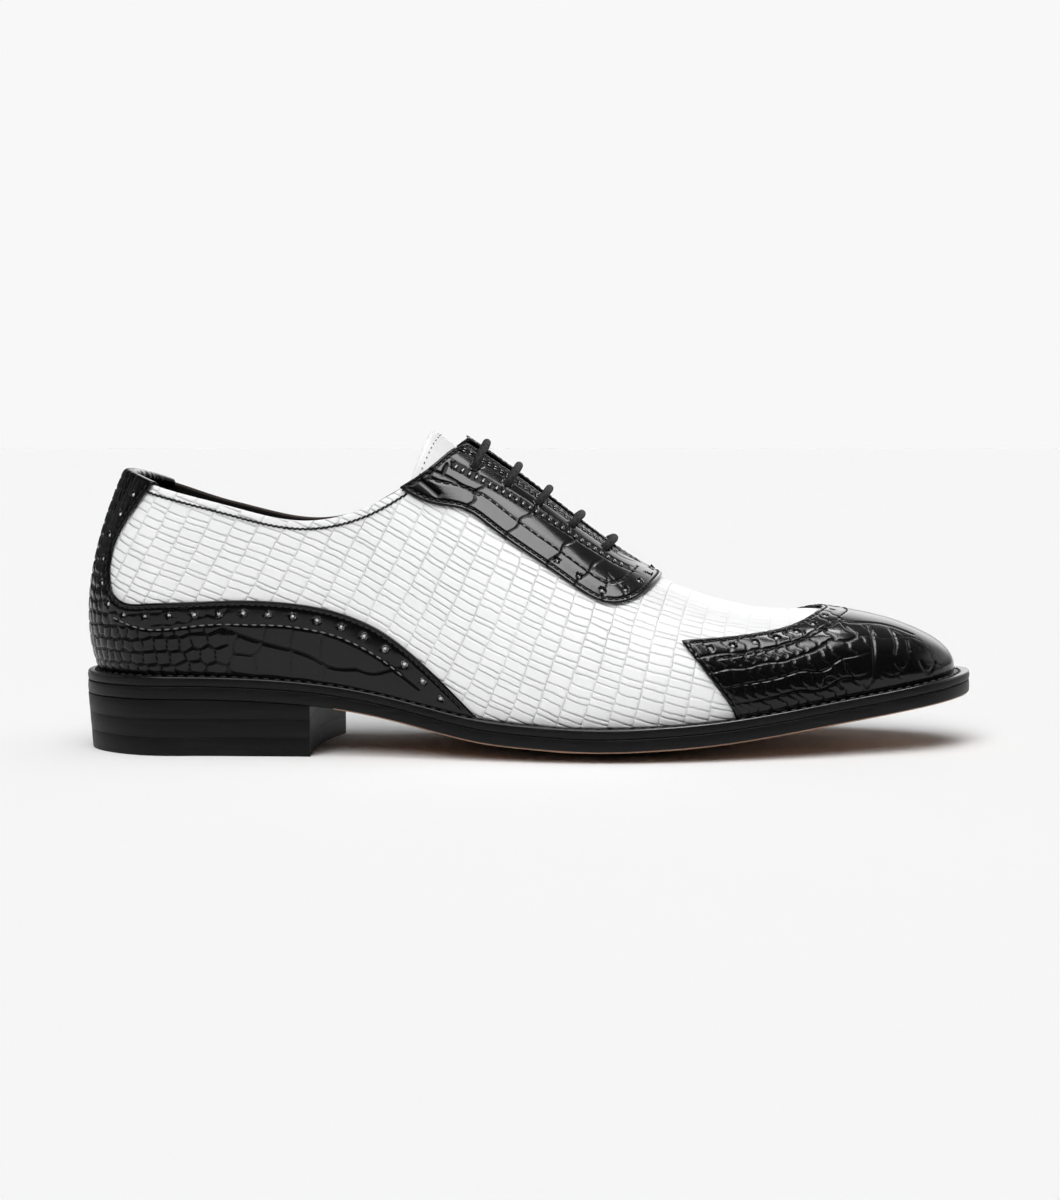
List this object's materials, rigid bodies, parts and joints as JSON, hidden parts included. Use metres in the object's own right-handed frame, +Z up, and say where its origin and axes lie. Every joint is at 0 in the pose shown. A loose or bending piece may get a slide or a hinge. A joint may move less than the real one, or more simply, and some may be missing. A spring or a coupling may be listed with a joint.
{
  "type": "cap toe oxford",
  "caption": "Two-tone right cap toe oxford: hollow leather upper with winged toe cap, heel counter, closed-throat eyestay and lace bars on a welted sole with a stacked heel.",
  "frame": {"origin": "middle of the shoe's length and width, at floor level", "axes": "+X to the toe, +Y to the inner (medial) side, +Z up"},
  "size_m": [0.3056, 0.103, 0.1059],
  "materials": {
    "white_leather": "satin, lizard embossed",
    "black_leather": "glossy, crocodile embossed",
    "lining": "matte",
    "sole_edge": "satin edge dressing",
    "outsole_leather": "smooth, edge dyed black",
    "heel_rubber": "matte",
    "lace": "round waxed braid"
  },
  "bodies": {
    "root": {"upper": "white_leather", "toe_cap": "black_leather", "heel_counter": "black_leather", "eyestay": "black_leather", "tongue": "white_leather", "insole": "lining", "welt": "sole_edge", "outsole": "outsole_leather", "heel_lift_upper": "sole_edge", "heel_lift_lower": "sole_edge", "heel_top_piece": "heel_rubber", "lace_bar_1": "lace", "lace_bar_2": "lace", "lace_bar_3": "lace", "lace_bar_4": "lace", "lace_bar_5": "lace"}
  },
  "joints": []
}
